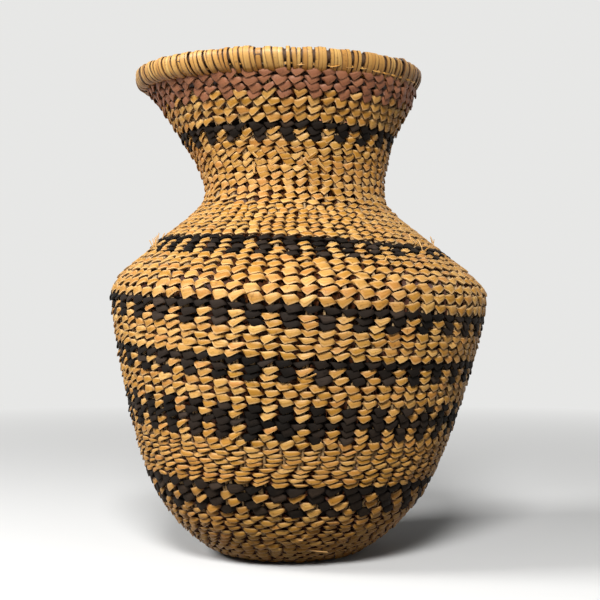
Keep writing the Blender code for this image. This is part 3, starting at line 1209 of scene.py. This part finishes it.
@dataclass
class Rim:
    """The rod hoop and the top course, overcast together by one long splint.

    Attributes:
        wall: the wall.
        finish: the overcast splint's material.
        hoop_finish: the hoop's material.
        turns: how often the splint goes round the hoop.
        width: its width.
        thickness: its thickness.
        worn: how far its two outer edges are worn down, as a share of its width.
        lean: how far its upper side is behind its lower side, in turns.
        foot: how far above the CAD overcast's lower edge it goes through the wall.
        snug: how tall its oval is, against the room that it has.
        shrink: how much smaller its radius is than the CAD's.
        aside: how far it is to the right of the CAD's.
        deeper: how much deeper it goes at the right, as a share of half its height.
        shallower: how much less deep it goes at the left, as a share of half its height.
        gathered: how narrow those two stretches are. Higher is narrower, and it is odd.
        segments: how many straight lengths one turn of it has.
        hand: how much its turns differ from each other.
        shade_and_dirt: where painted shade darkens it: in the gaps along its edges and on its side
            against the hoop.
        hoop_segments: how many straight lengths the hoop has.
        hoop_sides: how many sides the hoop's rod has.
        hoop_tone: the hoop's lightness and hue.
        hoop_shade: how dark the hoop is painted as shade, from 0 to 1, since it shows only in the
            gaps between the turns.
        seed: what the random numbers start from.
    """

    wall: Wall
    finish: bpy.types.Material
    hoop_finish: bpy.types.Material
    turns: int = 172
    width: float = 0.0027
    thickness: float = 0.0009
    worn: float = 0.22
    lean: float = 0.9
    foot: float = 0.0014
    snug: float = 0.97
    shrink: float = 0.0008
    aside: float = 0.0012
    deeper: float = 0.70
    shallower: float = 0.35
    gathered: int = 3
    segments: int = 16
    hand: Turning = Turning()
    # Painted shade in the gaps between the turns and on their side against the hoop.
    shade_and_dirt: PaintedShade = PaintedShade(crevice=0.0, edge=0.9, sharpness=3, under=0.4)
    hoop_segments: int = 72
    hoop_sides: int = 10
    hoop_tone: tuple[float, float] = (0.4, 0.3)
    # The hoop is painted dark all over, as the shade in which it lies.
    hoop_shade: float = 0.95
    seed: int = 3

    def hoop_sizes(self) -> tuple[float, float, float, float]:
        """The hoop's sizes, from the CAD hoop.

        Returns:
            The rod's radius, the hoop's radius and height at the middle of its rod, and how
            far to +X it is moved.
        """
        low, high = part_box("rim_hoop")
        tube = 0.5 * (high.z - low.z)
        radius = 0.5 * (high.x - low.x) - tube - self.shrink
        return tube, radius, 0.5 * (low.z + high.z), 0.5 * (low.x + high.x) + self.aside

    def section(self) -> Oval:
        """Lays the overcast's oval along the wall's slope at the rim.

        Returns:
            The oval.
        """
        tube, hoop_radius, hoop_height, lean = self.hoop_sizes()
        low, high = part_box("rim_overcast")
        ahead = np.array([-self.wall.outward[-1, 1], self.wall.outward[-1, 0]])
        outward = np.array([ahead[1], -ahead[0]])
        top = high.z - hoop_height - 0.5 * self.thickness
        foot = hoop_height - low.z - 0.5 * self.thickness - self.foot
        middle = np.array([hoop_radius, hoop_height]) + ahead * (top - foot) / ahead[1] * 0.5
        tall = ahead * 0.5 * (top + foot) / ahead[1] * self.snug
        return Oval(middle, tall, outward * (tube + self.thickness), lean)

    def hoop(self) -> bpy.types.Object:
        """Makes the rod hoop, whose two ends meet at the back.

        Returns:
            Its object.
        """
        tube, hoop_radius, hoop_height, lean = self.hoop_sizes()
        form = rod_form(self.hoop_segments, self.hoop_sides)
        ahead, across, out = form.corners.T
        angle = math.pi * (2 * ahead - 0.5)
        radius = hoop_radius + 2 * tube * across
        height = hoop_height + 2 * tube * out
        places = self.wall.settled(angle, self.wall.reach[-1], radius, height, lean)
        piece = Gathering("rim_hoop_rod")
        length = 2 * math.pi * radius.mean()
        piece.add(form, places[None], np.array([self.hoop_tone]), self.hoop_shade, length)
        made = piece.finished([self.hoop_finish], ROD_EDGE)
        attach(made, BODY)
        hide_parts("rim_hoop")
        return made

    def wound(self, oval: Oval, form: Form, random: np.random.Generator) -> np.ndarray:
        """Winds the overcast splint round the rim.

        Args:
            oval: the oval that it follows.
            form: one turn of it.
            random: where the turns' small differences come from.

        Returns:
            Where each turn's corners are, as (turns, corners, 3).
        """
        ahead, across, out = form.corners.T
        hand = self.hand
        # Six numbers are drawn for each turn, and the last is left over.
        widths, stands, sizes, leans, shifts, _ = random.normal(size=(6, self.turns, 1))
        turn = 2 * math.pi * ahead
        number = np.arange(self.turns)[:, None]
        side = np.cos(2 * math.pi * number / self.turns) ** self.gathered
        deeper = np.where(side > 0, self.deeper, self.shallower) * side
        down = 1 + deeper * (np.sin(turn) < 0)
        stand = 0.5 * self.thickness * (2 * out - 1) + hand.stand * stands
        radius, height = oval.at(turn, 1 + hand.size * sizes, down)
        normal = oval.normal(turn)
        radius = radius + stand * normal[0]
        height = height + stand * normal[1]
        leaning = -self.lean * 0.5 * np.sin(turn) * (1 + hand.lean * leans)
        advance = ahead + leaning + hand.shift * shifts
        width = self.width * (1 + hand.width * widths)
        angle = 2 * math.pi * (number + advance) / self.turns + width * across / radius
        return self.wall.settled(angle, self.wall.reach[-1], radius, height, oval.lean)

    def overcast(self) -> bpy.types.Object:
        """Makes the overcast splint.

        Returns:
            Its object.
        """
        oval = self.section()
        form = splint_form(self.segments, self.worn)
        random = np.random.default_rng(self.seed)
        places = self.wound(oval, form, random)
        tone = random.random((self.turns, 2))
        _, across, out = form.corners.T
        shade_and_dirt = self.shade_and_dirt.at(0.0, across, out)
        # The tall and the wide half together, times 2.2, come to about the length of a turn.
        length = 2.2 * np.linalg.norm(oval.tall + oval.wide)
        piece = Gathering("rim_overcast_splint")
        piece.add(form, places, tone, shade_and_dirt, length)
        made = piece.finished([self.finish], SPLINT_EDGE)
        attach(made, BODY)
        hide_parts("rim_overcast")
        return made

    def build(self) -> list[bpy.types.Object]:
        """Makes the hoop and the splint round it."""
        return [self.hoop(), self.overcast()]


@dataclass
class StartKnot:
    """The crossed warps at the middle of the base: two layers of rods, laid crosswise.

    Attributes:
        wall: the wall.
        finish: the rods' material.
        rods: how many rods each layer has.
        sides: how many sides a rod has.
        fit: a rod's width and depth, as a share of its room.
        shade_and_dirt: how far the rods are darkened towards their finish's darkest colour, from 0
            to 1.
        seed: what the random numbers start from.
    """

    wall: Wall
    finish: bpy.types.Material
    rods: int = 8
    sides: int = 8
    fit: float = 0.97
    shade_and_dirt: float = 0.3
    seed: int = 7

    def build(self) -> bpy.types.Object:
        """Makes the knot.

        Returns:
            Its object.
        """
        low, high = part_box("start_knot")
        middle = 0.5 * (low + high)
        radius = 0.5 * (high.y - low.y)
        depth = 0.5 * (high.z - low.z)
        form = rod_form(segments=2, sides=self.sides)
        ahead, across, out = form.corners.T
        random = np.random.default_rng(self.seed)
        width = 2 * radius / self.rods
        aside = width * (np.arange(self.rods)[:, None] - 0.5 * (self.rods - 1))
        run = 2 * np.sqrt(radius ** 2 - aside ** 2) * ahead
        beside = aside + self.fit * width * across
        piece = Gathering("start_knot_rods")
        for layer in (0, 1):
            up = low.z + depth * (layer + 0.5) + self.fit * depth * out
            up = np.broadcast_to(up, run.shape)
            x, y = (run, beside) if layer == 0 else (-beside, run)
            places = np.stack([middle.x + x, middle.y + y, up], axis=-1)
            tone = random.random((self.rods, 2))
            piece.add(form, places, tone, self.shade_and_dirt, 2 * radius)
        made = piece.finished([self.finish], ROD_EDGE)
        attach(made, BODY)
        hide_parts("start_knot")
        return made


@dataclass(frozen=True)
class Fray:
    """A place where ends of splint or rod have worked loose.

    Attributes:
        angle: where they start round the basket, in degrees from +X.
        along: where they start along the wall.
        heading: which way they run, in degrees. 0 is along the course and 90 up the wall.
        length: their length.
        width: their width.
        lift: how far their tips stand off the wall.
        count: how many there are.
    """

    angle: float
    along: float
    heading: float
    length: float
    width: float
    lift: float
    count: int = 1


@dataclass
class LooseEnds:
    """The loose ends of the weave.

    Attributes:
        wall: the wall.
        finish: their material.
        thickness: their thickness.
        sunk: how deep in the wall they start.
        taper: how much narrower their tips are, as a share.
        scatter: how far apart those of one place typically start.
        spread: how much they typically differ in heading, in degrees.
        uneven: how much they typically differ in length, as a share.
        hue: how far their hue goes from the usual one, from 0 to 1.
        shade_and_dirt: how far they are darkened where they start, from 0 to 1.
        segments: how many straight lengths one of them has.
        seed: what the random numbers start from.
        frays: where they are.
    """

    wall: Wall
    finish: bpy.types.Material
    thickness: float = 0.0006
    sunk: float = 0.0012
    taper: float = 0.35
    scatter: float = 0.0020
    spread: float = 20.0
    uneven: float = 0.25
    hue: float = 0.6
    shade_and_dirt: float = 0.5
    segments: int = 5
    seed: int = 9
    frays: tuple[Fray, ...] = (
        Fray(-77, 0.2985, -47, 0.0100, 0.0017, 0.0010),
        Fray(-85, 0.2985, -48, 0.0085, 0.0013, 0.0012),
        Fray(-82, 0.2960, 42, 0.0078, 0.0016, 0.0013),
        Fray(-113, 0.2985, -80, 0.0066, 0.0016, 0.0008, 2),
        Fray(-104, 0.2965, -65, 0.0052, 0.0013, 0.0008),
        Fray(-95, 0.3060, -60, 0.0050, 0.0012, 0.0008),
        Fray(-161, 0.2335, 118, 0.0060, 0.0005, 0.0038, 6),
        Fray(-168, 0.2360, 85, 0.0040, 0.0005, 0.0014, 3),
        Fray(-82, 0.0440, 0, 0.0150, 0.0015, 0.0020),
        Fray(-84, 0.0520, 55, 0.0050, 0.0009, 0.0015, 2),
        Fray(-36, 0.2370, 60, 0.0060, 0.0006, 0.0022, 4),
        Fray(-12, 0.2400, 100, 0.0045, 0.0005, 0.0026, 3),
        Fray(-62, 0.2200, 50, 0.0065, 0.0010, 0.0012),
        Fray(-50, 0.2110, -50, 0.0060, 0.0012, 0.0010),
        Fray(-88, 0.1530, 30, 0.0080, 0.0010, 0.0011),
        Fray(48, 0.2870, -55, 0.0080, 0.0014, 0.0011, 2),
        Fray(100, 0.2210, 40, 0.0070, 0.0009, 0.0016, 2),
        Fray(150, 0.1360, 30, 0.0070, 0.0010, 0.0014),
        Fray(25, 0.1010, -30, 0.0080, 0.0011, 0.0014),
    )

    def build(self) -> bpy.types.Object:
        """Makes them, as one piece.

        Returns:
            The piece's object.
        """
        form = splint_form(self.segments)
        ahead, across, out = form.corners.T
        share = ahead + 0.5
        random = np.random.default_rng(self.seed)
        piece = Gathering("loose_ends")
        for fray in self.frays:
            # An end that is alone at its place is laid just as it is given.
            vary = random.normal(size=(4, fray.count, 1)) * (fray.count > 1)
            headings, lengths, rises, turns = vary
            heading = np.radians(fray.heading + self.spread * headings)
            run = share * fray.length * (1 + self.uneven * lengths)
            width = fray.width * across * (1 - self.taper * share)
            along = fray.along + self.scatter * rises
            radius = self.wall.radius(fray.along)
            angle = math.radians(fray.angle) + self.scatter * turns / radius
            angle = angle + (run * np.cos(heading) - width * np.sin(heading)) / radius
            along = along + run * np.sin(heading) + width * np.cos(heading)
            depth = self.sunk * (1 - share) ** 2 - fray.lift * share - self.thickness * out
            places = self.wall.at(angle, along, depth)
            tone = random.random((fray.count, 2)) * (1, self.hue)
            piece.add(form, places, tone, self.shade_and_dirt * (1 - share) ** 2, fray.length)
        made = piece.finished([self.finish], SPLINT_EDGE)
        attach(made, BODY)
        return made


@dataclass(frozen=True)
class Sheet:
    """Adds nodes to a node tree and links them.

    Attributes:
        tree: the node tree.
    """

    tree: bpy.types.NodeTree

    def node(
        self,
        kind: str,
        inputs: dict[str | int, Value] | None = None,
        **settings: str | bpy.types.NodeTree,
    ) -> bpy.types.Node:
        """Adds a node.

        Args:
            kind: its type.
            inputs: what feeds its sockets, by name or number.
            settings: its own settings.

        Returns:
            The node.
        """
        made = self.tree.nodes.new(kind)
        for name, value in settings.items():
            setattr(made, name, value)
        self.feed(made, inputs or {})
        return made

    def feed(self, node: bpy.types.Node, inputs: dict[str | int, Value]) -> None:
        """Sets a node's sockets to values, or links them to what feeds them.

        Args:
            node: the node.
            inputs: what feeds its sockets, by name or number.
        """
        for name, value in inputs.items():
            if isinstance(value, Socket):
                self.tree.links.new(value, node.inputs[name])
            else:
                node.inputs[name].default_value = value

    def maths(self, operation: str, *numbers: Value) -> Socket:
        """The result of a sum on numbers."""
        made = self.node("ShaderNodeMath", dict(enumerate(numbers)), operation=operation)
        return made.outputs[0]

    def mix(self, factor: Value, first: Value, second: Value, blend: str = "MIX") -> Socket:
        """One colour mixed into another.

        Args:
            factor: how much of the second.
            first: the first colour.
            second: the second colour.
            blend: how they are mixed.

        Returns:
            The mixed colour.
        """
        first, second = (
            (*colour, 1.0) if isinstance(colour, tuple) else colour for colour in (first, second)
        )
        inputs = {0: factor, 6: first, 7: second}
        made = self.node("ShaderNodeMix", inputs, data_type="RGBA", blend_type=blend)
        return made.outputs[2]

    def ranged(self, value: Value, low: float, high: float) -> Socket:
        """A number stretched so that low becomes 0 and high becomes 1, and held there."""
        made = self.node("ShaderNodeMapRange", {0: value, 1: low, 2: high, 3: 0.0, 4: 1.0})
        return made.outputs[0]

    def noise(self, place: Socket, scale: Value, detail: float) -> Socket:
        """Soft noise from 0 to 1 at a place."""
        inputs = {"Vector": place, "Scale": scale, "Detail": detail}
        return self.node("ShaderNodeTexNoise", inputs).outputs[0]

    def background_rays(self) -> Socket:
        """Tells the rays that see the pale background, directly or mirrored, from others.

        Returns:
            1 for those rays and 0 for others.
        """
        rays = self.node("ShaderNodeLightPath").outputs
        seen = self.maths("MAXIMUM", rays["Is Camera Ray"], rays["Is Glossy Ray"])
        return self.maths("MAXIMUM", seen, rays["Is Transmission Ray"])

    def shade(
        self, output: str, share: Socket, first: bpy.types.Node, second: bpy.types.Node
    ) -> None:
        """Ends the tree in two shaders, mixed.

        Args:
            output: the name of its last node.
            share: how much of the second shader.
            first: the first shader.
            second: the second shader.
        """
        inputs = {0: share, 1: first.outputs[0], 2: second.outputs[0]}
        mixed = self.node("ShaderNodeMixShader", inputs)
        self.feed(self.tree.nodes[output], {"Surface": mixed.outputs[0]})


def started_group(
    name: str, inputs: tuple[str, ...], outputs: tuple[str, ...]
) -> tuple[Sheet, bpy.types.Node, bpy.types.Node]:
    """Starts a node group.

    Args:
        name: the group's name.
        inputs: its number inputs.
        outputs: its number outputs.

    Returns:
        The group's sheet, its input node and its output node.
    """
    group = bpy.data.node_groups.new(name, "ShaderNodeTree")
    for socket in inputs:
        group.interface.new_socket(socket, in_out="INPUT", socket_type="NodeSocketFloat")
    for socket in outputs:
        group.interface.new_socket(socket, in_out="OUTPUT", socket_type="NodeSocketFloat")
    sheet = Sheet(group)
    return sheet, sheet.node("NodeGroupInput"), sheet.node("NodeGroupOutput")


@dataclass(frozen=True)
class Fibre:
    """The long fibres that run a splint's length.

    Attributes:
        stretch: how many fibres there are to a metre along a splint and to its width.
        detail: how rough the fine fibres and the broad ones are.
        coarse: how much coarser the broad fibres are than the fine ones, as a share.
        fine_share: how much of the result the fine fibres are.
        streaks: the results where dark streaks start and where they are full.
        hollow: how much lower a splint's edges are than its middle.
        edge_raggedness: how unevenly wide the band of painted edge colour is.
        edges: how far from the middle the edges start and are full, as shares of the width.
    """

    stretch: tuple[float, float, float] = (70.0, 6.5, 1.0)
    detail: tuple[float, float] = (3.0, 2.0)
    coarse: float = 0.3
    fine_share: float = 0.6
    streaks: tuple[float, float] = (0.36, 0.64)
    hollow: float = 9.0
    edge_raggedness: float = 0.2
    edges: tuple[float, float] = (0.24, 0.46)

    def group(self) -> bpy.types.NodeTree:
        """Builds the node group.

        Returns:
            The group, which gives a streak mask, a height and an edge mask.
        """
        sheet, given, result = started_group(
            "splint_fibre", ("Fineness",), ("Streak", "Height", "Edge")
        )
        fineness = given.outputs["Fineness"]
        grain = sheet.node("ShaderNodeUVMap", uv_map=GRAIN_MAP).outputs[0]
        mapping = sheet.node("ShaderNodeMapping", {"Vector": grain, "Scale": self.stretch})
        stretched = mapping.outputs[0]
        fine = sheet.noise(stretched, fineness, self.detail[0])
        coarser = sheet.maths("MULTIPLY", fineness, self.coarse)
        broad = sheet.noise(stretched, coarser, self.detail[1])
        fine = sheet.maths("MULTIPLY", fine, self.fine_share)
        broad = sheet.maths("MULTIPLY", broad, 1 - self.fine_share)
        both = sheet.maths("ADD", fine, broad)
        place = sheet.node("ShaderNodeSeparateXYZ", {0: grain}).outputs[1]
        share = sheet.maths("FRACT", sheet.maths("ADD", place, 0.5))
        aside = sheet.maths("ABSOLUTE", sheet.maths("SUBTRACT", share, 0.5))
        lower = sheet.maths("MULTIPLY", sheet.maths("MULTIPLY", aside, aside), self.hollow)
        # The fibres make the band of painted edge colour ragged.
        worn = sheet.maths("MULTIPLY", sheet.maths("SUBTRACT", both, 0.5), self.edge_raggedness)
        masks = {
            "Streak": sheet.ranged(both, *self.streaks),
            "Height": sheet.maths("SUBTRACT", both, lower),
            "Edge": sheet.ranged(sheet.maths("ADD", aside, worn), *self.edges),
        }
        sheet.feed(result, masks)
        return sheet.tree


@dataclass(frozen=True)
class Ageing:
    """Blotches, specks and the darkening of the basket's foot, partly soil and partly painted
    shade, in object space.

    Attributes:
        detail: how rough the blotches and the specks are.
        finer: how much finer the specks are than the blotches.
        blotches: the noise where blotches start and where they are full.
        specks: the noise where specks start and where they are full.
        foot_soil_and_shade: the heights where the darkening of the foot starts and where it is
            full.
        foot_soil_and_shade_unevenness: how unevenly high it reaches.
    """

    detail: tuple[float, float] = (4.0, 3.0)
    finer: float = 22.0
    blotches: tuple[float, float] = (0.42, 0.66)
    specks: tuple[float, float] = (0.60, 0.74)
    foot_soil_and_shade: tuple[float, float] = (0.115, 0.045)
    foot_soil_and_shade_unevenness: float = 0.06

    def group(self) -> bpy.types.NodeTree:
        """Builds the node group.

        Returns:
            The group, which gives a blotch mask, a speck mask and a mask for darkening the foot.
        """
        sheet, given, result = started_group("ageing", ("Scale",), ("Blotch", "Speck", "FootSoilAndShade"))
        scale = given.outputs["Scale"]
        place = sheet.node("ShaderNodeTexCoord").outputs["Object"]
        blotch = sheet.noise(place, scale, self.detail[0])
        speck = sheet.noise(place, sheet.maths("MULTIPLY", scale, self.finer), self.detail[1])
        height = sheet.node("ShaderNodeSeparateXYZ", {0: place}).outputs[2]
        stray = sheet.maths("SUBTRACT", blotch, 0.5)
        uneven = sheet.maths("MULTIPLY", stray, self.foot_soil_and_shade_unevenness)
        masks = {
            "Blotch": sheet.ranged(blotch, *self.blotches),
            "Speck": sheet.ranged(speck, *self.specks),
            # Darker towards the foot: partly soil and partly painted shade.
            "FootSoilAndShade": sheet.ranged(sheet.maths("ADD", height, uneven), *self.foot_soil_and_shade),
        }
        sheet.feed(result, masks)
        return sheet.tree


@dataclass(frozen=True)
class Finish:
    """The finish of one kind of splint or rod.

    Attributes:
        name: the material's name.
        pale: its lightest splints.
        usual: most of its splints.
        warm: its splints of the other hue.
        streak: the colour of its fibres.
        edge: the colour painted along its edges: a highlight on the straw and black splints, which
            on the straw also stands for paler split edges; painted shade in the gaps between the
            overcast's turns; lighter on the red splints and darker on the rods.
        shade_and_dirt: the colour of the specks of dirt and of the painted shade in crevices, along
            edges and on undersides.
        roughness: the surface's roughness.
        fineness: how fine its fibres are.
        bump: how strongly the fibres stand out.
        shine: specular level.
        pale_from: the lightness from which splints turn pale.
        warm_from: the hue from which splints turn warm.
        streaked: how strong the fibres' colour is.
        edged: how strong the edges' colour is.
        blotched: how strong the blotches are.
        specked: how strong the specks are.
        blotches: how fine the blotches are.
        foot_soil_and_shade: what the darkening of the foot, partly soil and partly painted shade,
            lets through.
        shade_falloff: how much the painted shade, with the foot's darkening, keeps to the deepest
            places. Higher is deeper.
        rougher: how much rougher the streaks are.
        relief: the fibres' height.
    """

    name: str
    pale: Colour
    usual: Colour
    warm: Colour
    streak: Colour
    edge: Colour
    shade_and_dirt: Colour
    roughness: float
    fineness: float = 1.0
    bump: float = 0.35
    shine: float = 0.5
    pale_from: float = 0.35
    warm_from: float = 0.70
    streaked: float = 0.75
    edged: float = 0.65
    blotched: float = 0.30
    specked: float = 0.50
    blotches: float = 26.0
    foot_soil_and_shade: Colour = (0.94, 0.90, 0.82)
    shade_falloff: float = 1.6
    rougher: float = 0.18
    relief: float = 0.0002

    def material(self, fibre: bpy.types.NodeTree, ageing: bpy.types.NodeTree) -> bpy.types.Material:
        """Makes the material.

        Args:
            fibre: the group that draws long fibres.
            ageing: the group that draws blotches, specks and the darkening of the foot.

        Returns:
            The material.
        """
        made = bpy.data.materials.new(self.name)
        made.use_nodes = True
        sheet = Sheet(made.node_tree)
        tone = sheet.node("ShaderNodeAttribute", attribute_name=TONE).outputs["Color"]
        light, hue, deep = sheet.node("ShaderNodeSeparateColor", {0: tone}).outputs
        fibres = sheet.node("ShaderNodeGroup", node_tree=fibre)
        sheet.feed(fibres, {"Fineness": self.fineness})
        age = sheet.node("ShaderNodeGroup", node_tree=ageing)
        sheet.feed(age, {"Scale": self.blotches})
        streak, height, edge = fibres.outputs
        blotch, speck, foot_soil_and_shade = age.outputs
        colour = sheet.mix(sheet.ranged(light, self.pale_from, 1.0), self.usual, self.pale)
        colour = sheet.mix(sheet.ranged(hue, self.warm_from, 1.0), colour, self.warm)
        colour = sheet.mix(sheet.maths("MULTIPLY", streak, self.streaked), colour, self.streak)
        # Painted along the edges: a highlight on the straw and black splints, shade in the gaps
        # between the overcast's turns.
        colour = sheet.mix(sheet.maths("MULTIPLY", edge, self.edged), colour, self.edge)
        colour = sheet.mix(sheet.maths("MULTIPLY", blotch, self.blotched), colour, self.warm)
        colour = sheet.mix(sheet.maths("MULTIPLY", speck, self.specked), colour, self.shade_and_dirt)
        # Darker towards the foot: partly soil and partly painted shade.
        colour = sheet.mix(foot_soil_and_shade, colour, self.foot_soil_and_shade, "MULTIPLY")
        # Painted shade in crevices, along edges and on undersides, deepened towards the foot. The
        # specks above are dirt.
        deepened_shade = sheet.maths("ADD", deep, sheet.maths("MULTIPLY", deep, foot_soil_and_shade))
        colour = sheet.mix(sheet.maths("POWER", deepened_shade, self.shade_falloff), colour, self.shade_and_dirt)
        rough = sheet.maths("MULTIPLY_ADD", streak, self.rougher, self.roughness)
        relief = {"Height": height, "Strength": self.bump, "Distance": self.relief}
        surface = {
            "Base Color": colour,
            "Roughness": rough,
            "Specular IOR Level": self.shine,
            "Normal": sheet.node("ShaderNodeBump", relief).outputs[0],
        }
        sheet.feed(made.node_tree.nodes["Principled BSDF"], surface)
        return made


STRAW = Finish(
    "straw_splint",
    pale=(0.78, 0.480, 0.150),
    usual=(0.525, 0.262, 0.036),
    warm=(0.57, 0.255, 0.062),
    streak=(0.34, 0.138, 0.010),
    # Painted highlight along the edges, which also stands for paler split edges.
    edge=(0.90, 0.59, 0.270),
    shade_and_dirt=(0.055, 0.013, 0.001),
    roughness=0.43,
    shine=0.28,
)
BLACK = Finish(
    "black_splint",
    pale=(0.008, 0.0065, 0.0055),
    usual=(0.0025, 0.002, 0.0015),
    warm=(0.076, 0.052, 0.038),
    # Lighter fibre streaks: partly worn fibres and partly painted sheen.
    streak=(0.012, 0.009, 0.007),
    # Painted highlight along the edges.
    edge=(0.009, 0.007, 0.005),
    shade_and_dirt=(0.003, 0.0015, 0.001),
    roughness=0.62,
    shine=0.08,
)
RED = Finish(
    "red_splint",
    pale=(0.36, 0.130, 0.055),
    usual=(0.26, 0.085, 0.034),
    warm=(0.17, 0.052, 0.022),
    streak=(0.38, 0.160, 0.070),
    edge=(0.42, 0.18, 0.085),
    shade_and_dirt=(0.020, 0.006, 0.003),
    roughness=0.50,
)
OVERCAST = Finish(
    "overcast_splint",
    pale=(0.90, 0.60, 0.200),
    usual=(0.72, 0.40, 0.100),
    warm=(0.56, 0.26, 0.055),
    streak=(0.52, 0.25, 0.055),
    # Painted shade in the gaps between the turns.
    edge=(0.50, 0.22, 0.050),
    shade_and_dirt=(0.030, 0.009, 0.002),
    roughness=0.38,
    fineness=0.8,
)
ROD = Finish(
    "split_rod",
    pale=(0.62, 0.45, 0.24),
    usual=(0.50, 0.33, 0.15),
    warm=(0.34, 0.20, 0.09),
    streak=(0.26, 0.15, 0.06),
    edge=(0.40, 0.25, 0.11),
    shade_and_dirt=(0.05, 0.02, 0.008),
    roughness=0.60,
    bump=0.5,
)


@dataclass(frozen=True)
class Lamp:
    """A square soft lamp.

    Attributes:
        name: its name.
        place: where it is.
        size: its side.
        power: its power in watts.
    """

    name: str
    place: Place
    size: float
    power: float

    def build(self, aim: Place) -> None:
        """Adds the lamp.

        Args:
            aim: the place that it faces.
        """
        data = bpy.data.lights.new(self.name, "AREA")
        data.size = self.size
        data.energy = self.power
        lamp = bpy.data.objects.new(self.name, data)
        lamp.location = self.place
        ahead = Vector(aim) - Vector(self.place)
        lamp.rotation_euler = ahead.to_track_quat("-Z", "Y").to_euler()
        bpy.context.scene.collection.objects.link(lamp)


@dataclass(frozen=True)
class Studio:
    """The camera where the photograph was taken from, plain soft light and a pale floor.

    Attributes:
        distance: from the basket's axis to the camera.
        eye: the camera's height.
        aside: how far the camera stands to the right of the axis.
        lens: focal length in millimetres.
        sensor: the sensor's width in millimetres.
        raised: how far the picture is moved up, as a share of its width.
        lamps: the lamps.
        aim: the place on the basket's axis that they face.
        all_round: the strength of the even light from all round.
        floor_reach: the floor's radius.
        fade: how far from the axis the floor starts to fade, and where it has faded.
        pale: the colour of the floor and the background.
        given_back: the floor's colour in the light that it throws back on the basket.
    """

    distance: float = 0.8204
    eye: float = 0.1503
    aside: float = 0.0006
    lens: float = 84.0
    sensor: float = 36.0
    raised: float = 5 / 600
    lamps: tuple[Lamp, ...] = (
        Lamp("key_lamp", (-0.10, -1.18, 1.00), 0.40, 25.5),
        Lamp("side_lamp", (-1.15, -0.35, 0.95), 0.50, 17.0),
        Lamp("fill_lamp", (1.1, -0.9, 0.60), 0.9, 0.5),
    )
    aim: Place = (0.0, 0.0, 0.13)
    all_round: float = 0.08
    floor_reach: float = 6.0
    fade: tuple[float, float] = (0.35, 1.1)
    pale: Colour = (0.80, 0.80, 0.79)
    given_back: Colour = (0.08, 0.07, 0.06)

    def camera(self) -> None:
        """Adds the camera."""
        data = bpy.data.cameras.new("camera")
        data.lens = self.lens
        data.sensor_width = self.sensor
        data.shift_y = -self.raised
        camera = bpy.data.objects.new("camera", data)
        camera.location = (self.aside, -self.distance, self.eye)
        camera.rotation_euler = (math.pi / 2, 0, 0)
        bpy.context.scene.collection.objects.link(camera)
        bpy.context.scene.camera = camera

    def floor(self) -> None:
        """Adds the floor, which fades into the pale background away from the basket."""
        deselect()
        bpy.ops.mesh.primitive_circle_add(vertices=96, radius=self.floor_reach, fill_type="NGON")
        floor = bpy.context.object
        floor.name = "floor"
        made = bpy.data.materials.new("pale_floor")
        made.use_nodes = True
        sheet = Sheet(made.node_tree)
        place = sheet.node("ShaderNodeTexCoord").outputs["Object"]
        away = sheet.node("ShaderNodeVectorMath", {0: place}, operation="LENGTH").outputs[1]
        seen = sheet.background_rays()
        colour = sheet.mix(seen, self.given_back, self.pale)
        matt = made.node_tree.nodes["Principled BSDF"]
        sheet.feed(matt, {"Base Color": colour, "Roughness": 0.9, "Specular IOR Level": 0.1})
        faded = sheet.maths("MULTIPLY", sheet.ranged(away, *self.fade), seen)
        glow = sheet.node("ShaderNodeEmission", {0: (*self.pale, 1), 1: 1.0})
        sheet.shade("Material Output", faded, matt, glow)
        floor.data.materials.append(made)

    def world(self) -> None:
        """Adds even light from all round, and the pale background that the camera sees."""
        world = bpy.data.worlds.new("studio")
        world.use_nodes = True
        bpy.context.scene.world = world
        sheet = Sheet(world.node_tree)
        soft = world.node_tree.nodes["Background"]
        sheet.feed(soft, {"Color": (1, 1, 1, 1), "Strength": self.all_round})
        backdrop = sheet.node("ShaderNodeBackground", {0: (*self.pale, 1), 1: 1.0})
        sheet.shade("World Output", sheet.background_rays(), soft, backdrop)

    def build(self) -> None:
        """Sets up the studio."""
        self.camera()
        for lamp in self.lamps:
            lamp.build(self.aim)
        self.floor()
        self.world()
        bpy.context.scene.view_settings.view_transform = "Standard"


def report(made: bpy.types.Object) -> None:
    """Logs a finished piece and how many faces it has."""
    LOG.info("%s: %d faces", made.name, len(made.data.polygons))


def main() -> None:
    """Builds every piece of the basket and the studio round it."""
    logging.basicConfig(level=logging.INFO, format="%(message)s")
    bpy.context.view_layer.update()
    fibre, ageing = Fibre().group(), Ageing().group()
    straw, black, red, overcast, rod = (
        finish.material(fibre, ageing) for finish in (STRAW, BLACK, RED, OVERCAST, ROD)
    )
    wall = Wall(frame["nodes"])
    LOG.info("wall: %.1f mm along, %.1f mm thick", 1000 * wall.reach[-1], 1000 * wall.thickness)
    weave = Weave(wall, {Splint.STRAW: straw, Splint.BLACK: black, Splint.RED: red})
    for made in weave.build():
        report(made)
    report(Warps(wall, rod).build())
    for made in Rim(wall, overcast, rod).build():
        report(made)
    report(StartKnot(wall, straw).build())
    report(LooseEnds(wall, straw).build())
    Studio().build()


if __name__ == "__main__":
    main()
